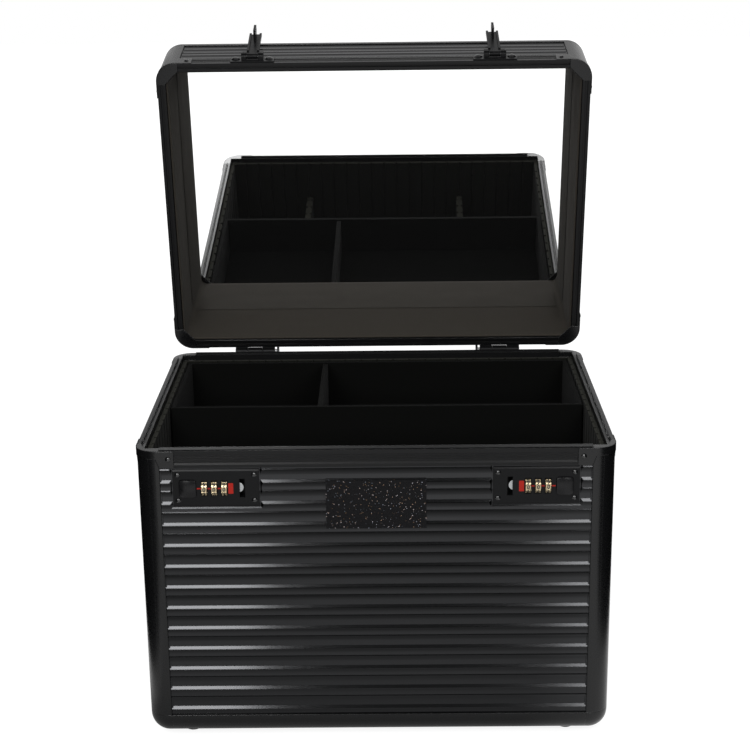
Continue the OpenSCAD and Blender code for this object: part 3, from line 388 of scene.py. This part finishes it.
steel = finish_of(
    "bright_steel", ((0.34, 0.34, 0.35), (0.44, 0.44, 0.45)), (0.22, 0.34), BRUSHED_GRAIN, FINE_BUMP,
    SHEET_EDGE, metallic=1.0,
)
chrome = finish_of(
    "bright_plating", ((0.28, 0.285, 0.29), (0.35, 0.36, 0.365)), (0.2, 0.3), FINE_GRAIN, FINE_BUMP,
    SHEET_EDGE, metallic=1.0,
)
brass = finish_of(
    "dial_brass", ((0.35, 0.285, 0.18), (0.45, 0.37, 0.24)), (0.22, 0.36), BRUSHED_GRAIN, FINE_BUMP,
    SHEET_EDGE, metallic=1.0,
)
ink = finish_of(
    "dial_ink", ((0.008, 0.007, 0.006), (0.02, 0.018, 0.015)), (0.5, 0.7), FINE_GRAIN, FINE_BUMP,
)
red = finish_of(
    "index_red", ((0.25, 0.008, 0.004), (0.3, 0.012, 0.006)), (0.4, 0.55), FINE_GRAIN, FINE_BUMP,
    specular=0.2,
)
gloss = finish_of(
    "black_button", ((0.003, 0.003, 0.0034), (0.0045, 0.0045, 0.005)), (0.22, 0.3), FINE_GRAIN, FINE_BUMP,
    METAL_EDGE, specular=0.2,
)
grip = finish_of(
    "black_grip", PLASTIC_COLOURS, (0.45, 0.6), MOULDED_GRAIN, MOULDED_BUMP, METAL_EDGE,
)
rubber = finish_of(
    "black_rubber", PLASTIC_COLOURS, (0.6, 0.8), FINE_GRAIN, MOULDED_BUMP, METAL_EDGE,
)
# The paler colour of the foam's upward faces: partly its cut edge, partly painted light
foam = foam_of("black_foam", (0.020, 0.020, 0.0165))
pad_foam = fabric_of("pad_foam", FOAM_COLOURS, FIBRE_GRAIN, FIBRE_BUMP, FOAM_SHEEN)
felt_black = fabric_of(
    "black_felt", ((0.0018, 0.0019, 0.0017), (0.0029, 0.0030, 0.0028)), FIBRE_GRAIN, FIBRE_BUMP, 0.02,
)
felt_grey = fabric_of(
    "grey_felt", ((0.0255, 0.0226, 0.0186), (0.038, 0.034, 0.0285)), FIBRE_GRAIN, FIBRE_BUMP, 0.03,
)
card_black = finish_of(
    "card_black", ((0.004, 0.004, 0.004), (0.006, 0.006, 0.006)), (0.8, 0.9), FINE_GRAIN, FINE_BUMP,
    specular=0.1,
)
glitter = glitter_of("glitter")
silver = mirror_of("silvered_glass")

FINISHES = {
    "ribbed_panel": panel,
    "black_frame": profile,
    "black_hardware": hardware,
    "rivet": rivet,
    "pin_steel": steel,
    "catch_chrome": chrome,
    "dial_brass": brass,
    "button_black": gloss,
    "index_red": red,
    "badge_glitter": glitter,
    "foam_lining": foam,
    "tray_board": felt_black,
    "lid_fabric": felt_grey,
    "mirror_glass": silver,
    "handle_plastic": grip,
    "foot_rubber": rubber,
}
slot_of = {part["node"]: part["material_slot"] for part in frame["record"]["subparts"]}
body_of = {name: body for body, names in frame["record"]["behaviour"]["bodies"].items() for name in names}

finish_for = {name: FINISHES[slot_of[name]] for name in nodes}
for name in ("rim_rails", "lid_rim_rails"):
    finish_for[name] = rail
# The four lower panels get the ribbed finish, with its painted shade under each ledge
for name in ("front_panel", "back_panel", "left_panel", "right_panel"):
    finish_for[name] = ribbed

for name, thing in nodes.items():
    thing.data.materials.clear()
    thing.data.materials.append(finish_for[name])


def new_piece(name, mesh, material):
    """A new object of the scene with one material."""
    piece = bpy.data.objects.new(name, mesh)
    bpy.context.scene.collection.objects.link(piece)
    mesh.materials.clear()
    mesh.materials.append(material)
    return piece


def soft_piece(node, edge):
    """A soft copy of a CAD piece, with rounded edges, that stands for it."""
    piece = new_piece("soft_" + node, nodes[node].data.copy(), FINISHES[slot_of[node]])
    weld = piece.modifiers.new("weld", "WELD")
    weld.merge_threshold = WELD_DISTANCE
    rounding = piece.modifiers.new("rounding", "BEVEL")
    rounding.width = edge
    rounding.segments = EDGE_SEGMENTS
    rounding.limit_method = "ANGLE"
    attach(piece, body_of[node])
    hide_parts(node)
    return piece


for name in ("lining_front", "lining_back", "lining_left", "lining_right", "divider_left", "divider_right"):
    soft_piece(name, FOAM_EDGE)
pad = soft_piece("floor_pad", FOAM_EDGE)
pad.data.materials[0] = pad_foam
for name in ("tray", "tray_divider"):
    soft_piece(name, BOARD_EDGE)


def number_mesh(text):
    """A flat number as a mesh about its own middle, cut into strips so that it can be wrapped."""
    curve = bpy.data.curves.new("number", "FONT")
    curve.body = text
    curve.size = NUMBER_HEIGHT
    curve.offset = NUMBER_WEIGHT
    curve.align_x = "CENTER"
    curve.align_y = "CENTER"
    letter = bpy.data.objects.new("number", curve)
    bpy.context.scene.collection.objects.link(letter)
    flat = bpy.data.meshes.new_from_object(letter.evaluated_get(bpy.context.evaluated_depsgraph_get()))
    bpy.data.objects.remove(letter)
    bpy.data.curves.remove(curve)
    strips = bmesh.new()
    strips.from_mesh(flat)
    bpy.data.meshes.remove(flat)
    count = math.ceil(NUMBER_HEIGHT / NUMBER_SLICE)
    for i in range(-count, count + 1):
        everything = strips.verts[:] + strips.edges[:] + strips.faces[:]
        bmesh.ops.bisect_plane(strips, geom=everything, plane_co=(0, i * NUMBER_SLICE, 0), plane_no=(0, 1, 0))
    return strips


def dial_numbers(wheel):
    """The numbers around one wheel, the first of them facing the front."""
    low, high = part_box(wheel)
    middle = (low + high) / 2
    radius = (high.z - low.z) / 2
    points, faces = [], []
    for digit in range(NUMBER_COUNT):
        strips = number_mesh(str(digit))
        first = len(points)
        strips.verts.index_update()
        for vertex in strips.verts:
            angle = vertex.co.y / radius - digit * math.tau / NUMBER_COUNT
            out = Vector((0, -math.cos(angle), math.sin(angle))) * (radius + NUMBER_PROUD)
            points.append(middle + Vector((vertex.co.x, 0, 0)) + out)
        faces += [[first + vertex.index for vertex in face.verts] for face in strips.faces]
        strips.free()
    mesh = bpy.data.meshes.new("numbers_" + wheel)
    mesh.from_pydata(points, [], faces)
    piece = new_piece("numbers_" + wheel, mesh, ink)
    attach(piece, wheel)


for side in ("left", "right"):
    for i in (1, 2, 3):
        dial_numbers(f"wheel_{side}_{i}")


def joint_named(name):
    """A joint of the record, by its name."""
    return next(joint for joint in frame["record"]["behaviour"]["joints"] if joint["name"] == name)


def lid_matrix():
    """Turns what is drawn on the shut lid to where the open lid stands."""
    hinge = joint_named("lid_hinge")
    axis_place = Matrix.Translation(hinge["pos_m"])
    turn = Matrix.Rotation(math.radians(hinge["range_deg"][0]), 4, "X")
    return axis_place @ turn @ axis_place.inverted()


def shut_box(node):
    """A lid node's box with the lid shut."""
    back = lid_matrix().inverted()
    corners = [back @ vertex.co for vertex in nodes[node].data.vertices]
    low = Vector([min(corner[i] for corner in corners) for i in range(3)])
    high = Vector([max(corner[i] for corner in corners) for i in range(3)])
    return low, high


def rounded_loop(low, high, radius, step):
    """Points and outward normals around a rounded rectangle, from below as x and y."""
    loop = []
    corners = [
        ((high.x - radius, high.y - radius), 0), ((low.x + radius, high.y - radius), 1),
        ((low.x + radius, low.y + radius), 2), ((high.x - radius, low.y + radius), 3),
    ]
    for (x, y), quarter in corners:
        for i in range(FELT_CORNER_STEPS + 1):
            angle = (quarter + i / FELT_CORNER_STEPS) * math.pi / 2
            normal = Vector((math.cos(angle), math.sin(angle), 0))
            loop.append((Vector((x, y, 0)) + normal * radius, normal))
    dense = []
    for (point, normal), (after, after_normal) in zip(loop, loop[1:] + loop[:1]):
        count = max(1, round((after - point).length / step))
        for i in range(count):
            share = i / count
            dense.append((point.lerp(after, share), normal.lerp(after_normal, share).normalized()))
    return dense


def lid_felt():
    """The felt around the lid's inside: one strip with soft corners and shallow wrinkles."""
    low, high = shut_box("lid_lining")
    inset = Vector((FELT_GAP + FELT_THICKNESS / 2, FELT_GAP + FELT_THICKNESS / 2, 0))
    loop = rounded_loop(low + inset, high - inset, FELT_CORNER, FELT_STEP)
    points, faces = [], []
    for row in range(FELT_ROWS + 1):
        share = row / FELT_ROWS
        height = low.z + (high.z - low.z) * share
        fixed = math.sin(math.pi * share)
        for point, normal in loop:
            place = Vector((point.x, point.y, height))
            wave = noise.noise(place / FELT_WRINKLE_LENGTH) + noise.noise(place * 2 / FELT_WRINKLE_LENGTH) / 2
            points.append(place - normal * FELT_WRINKLE * fixed * (1 + wave))
    count = len(loop)
    for row in range(FELT_ROWS):
        for i in range(count):
            after = (i + 1) % count
            below = row * count
            above = below + count
            faces.append([below + i, below + after, above + after, above + i])
    mesh = bpy.data.meshes.new("lid_felt")
    mesh.from_pydata(points, [], faces)
    mesh.transform(lid_matrix())
    mesh.polygons.foreach_set("use_smooth", [True] * len(mesh.polygons))
    piece = new_piece("lid_felt", mesh, felt_grey)
    thick = piece.modifiers.new("thickness", "SOLIDIFY")
    thick.thickness = FELT_THICKNESS
    thick.offset = 0
    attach(piece, "lid")
    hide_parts("lid_lining")


lid_felt()


def stage():
    """A floor that keeps the shadow, shows white where nothing shades it, and in glossy things shines less
    near the case: a painted shade.
    """
    mesh = bpy.data.meshes.new("floor")
    half = FLOOR_SIZE / 2
    corners = [(-half, -half, 0), (half, -half, 0), (half, half, 0), (-half, half, 0)]
    mesh.from_pydata(corners, [], [(0, 1, 2, 3)])
    material = bpy.data.materials.new("pale_floor")
    tree, shader = tree_of(material)
    value = grain_noise(tree, FLOOR_GRAIN)
    tree.links.new(blend_colours(tree, value, *FLOOR_COLOURS), shader.inputs["Base Color"])
    shader.inputs["Roughness"].default_value = FLOOR_ROUGHNESS
    shader.inputs["Specular IOR Level"].default_value = 0.0
    place = add(tree, "ShaderNodeTexCoord")
    axes = add(tree, "ShaderNodeSeparateXYZ")
    tree.links.new(place.outputs["Object"], axes.inputs["Vector"])
    # Painted shade: glossy things see the glow dimmer in a patch before the case, darkest next to it
    shine = spread(tree, axes.outputs["Y"], *SHADE_SHINES, *SHADE_REACH)
    edges = (("X", (1, 0), PATCH_LEFT), ("X", (0, 1), PATCH_RIGHT), ("Y", (1, 0), PATCH_FRONT))
    for axis, levels, edge in edges:
        shine = combine(tree, "MAXIMUM", shine, spread(tree, axes.outputs[axis], *levels, *edge))
    distance = add(tree, "ShaderNodeVectorMath", operation="LENGTH")
    tree.links.new(place.outputs["Object"], distance.inputs[0])
    glow = spread(tree, distance.outputs["Value"], NEAR_GLOW, 1.0, *GLOW_RISE)
    shader.inputs["Emission Color"].default_value = (1, 1, 1, 1)
    strength = combine(tree, "MULTIPLY", seen_by_eye(tree, shine), glow)
    tree.links.new(strength, shader.inputs["Emission Strength"])
    new_piece("floor", mesh, material)


def seen_by_eye(tree, shine):
    """1 on rays from the camera or through glass, the given shine in glossy things, and 0 on other light."""
    path = add(tree, "ShaderNodeLightPath")
    direct = combine(tree, "MAXIMUM", path.outputs["Is Camera Ray"], path.outputs["Is Transmission Ray"])
    glossy = combine(tree, "MULTIPLY", path.outputs["Is Glossy Ray"], shine)
    return combine(tree, "MAXIMUM", direct, glossy)


def side_card(name, x, front):
    """A dark upright card that keeps the white floor out of the case's rounded sides."""
    mesh = bpy.data.meshes.new(name)
    corners = [(front, 0), (CARD_BACK, 0), (CARD_BACK, CARD_HEIGHT), (front, CARD_HEIGHT)]
    mesh.from_pydata([(x, y, z) for y, z in corners], [], [(0, 1, 2, 3)])
    card = new_piece(name, mesh, card_black)
    card.visible_camera = False
    card.visible_diffuse = False
    card.visible_shadow = False


def sky_axes(tree):
    """The direction of a ray that leaves the scene, as x, y and z."""
    direction = add(tree, "ShaderNodeTexCoord")
    axes = add(tree, "ShaderNodeSeparateXYZ")
    tree.links.new(direction.outputs["Generated"], axes.inputs["Vector"])
    return axes


def surround_level(tree):
    """How bright the surround shines in glossy things: white low down behind, dim overhead and in front."""
    axes = sky_axes(tree)
    ceiling = spread(tree, axes.outputs["Y"], *CEILING_LEVELS, *CEILING_TURN)
    low = spread(tree, axes.outputs["Z"], 1.0, 0.0, *CEILING_RISE)
    behind = spread(tree, axes.outputs["Y"], 0.0, 1.0, *CEILING_TURN)
    return combine(tree, "MAXIMUM", combine(tree, "MULTIPLY", low, behind), ceiling)


def white_world():
    """A white surround: full strength where it is seen, softer where it only lights the object."""
    world = bpy.data.worlds.new("studio")
    bpy.context.scene.world = world
    world.use_nodes = True
    tree = world.node_tree
    background = tree.nodes["Background"]
    background.inputs["Color"].default_value = (1, 1, 1, 1)
    sky = spread(tree, sky_axes(tree).outputs["Z"], *WORLD_LIGHT, 0.0, 1.0)
    light = combine(tree, "MULTIPLY", sky, combine(tree, "SUBTRACT", 1.0, seen_by_eye(tree, 1.0)))
    level = combine(tree, "MAXIMUM", seen_by_eye(tree, surround_level(tree)), light)
    tree.links.new(level, background.inputs["Strength"])


def softbox(name, place, width, power):
    """A tall soft lamp beside the camera, aimed at the case."""
    lamp = bpy.data.lights.new(name, "AREA")
    lamp.shape = "RECTANGLE"
    lamp.size = width
    lamp.size_y = SOFTBOX_HEIGHT
    lamp.energy = power
    holder = bpy.data.objects.new(name, lamp)
    bpy.context.scene.collection.objects.link(holder)
    holder.location = place
    holder.rotation_euler = (Vector(CASE_MIDDLE) - holder.location).to_track_quat("-Z", "Y").to_euler()
    holder.visible_camera = False


def camera():
    """The photograph's camera."""
    forward = Vector((
        math.sin(CAMERA_YAW) * math.cos(CAMERA_PITCH),
        math.cos(CAMERA_YAW) * math.cos(CAMERA_PITCH),
        math.sin(CAMERA_PITCH),
    ))
    level = Vector((math.cos(CAMERA_YAW), -math.sin(CAMERA_YAW), 0))
    up = level.cross(forward)
    right = level * math.cos(CAMERA_ROLL) + up * math.sin(CAMERA_ROLL)
    turn = Matrix((right, right.cross(forward), -forward)).transposed()
    lens = bpy.data.cameras.new("camera")
    lens.sensor_fit = "HORIZONTAL"
    lens.sensor_width = SENSOR_WIDTH
    lens.lens = FOCAL_PIXELS * SENSOR_WIDTH / IMAGE_WIDTH
    lens.clip_end = FLOOR_SIZE * 2
    holder = bpy.data.objects.new("camera", lens)
    bpy.context.scene.collection.objects.link(holder)
    holder.matrix_world = Matrix.Translation(CAMERA_PLACE) @ turn.to_4x4()
    bpy.context.scene.camera = holder


stage()
side_card("left_card", LEFT_CARD_PLACE, LEFT_CARD_FRONT)
side_card("right_card", RIGHT_CARD_PLACE, RIGHT_CARD_FRONT)
white_world()
softbox("left", LEFT_PLACE, LEFT_WIDTH, LEFT_POWER)
softbox("right", RIGHT_PLACE, RIGHT_WIDTH, RIGHT_POWER)
camera()
bpy.context.scene.view_settings.view_transform = "Standard"
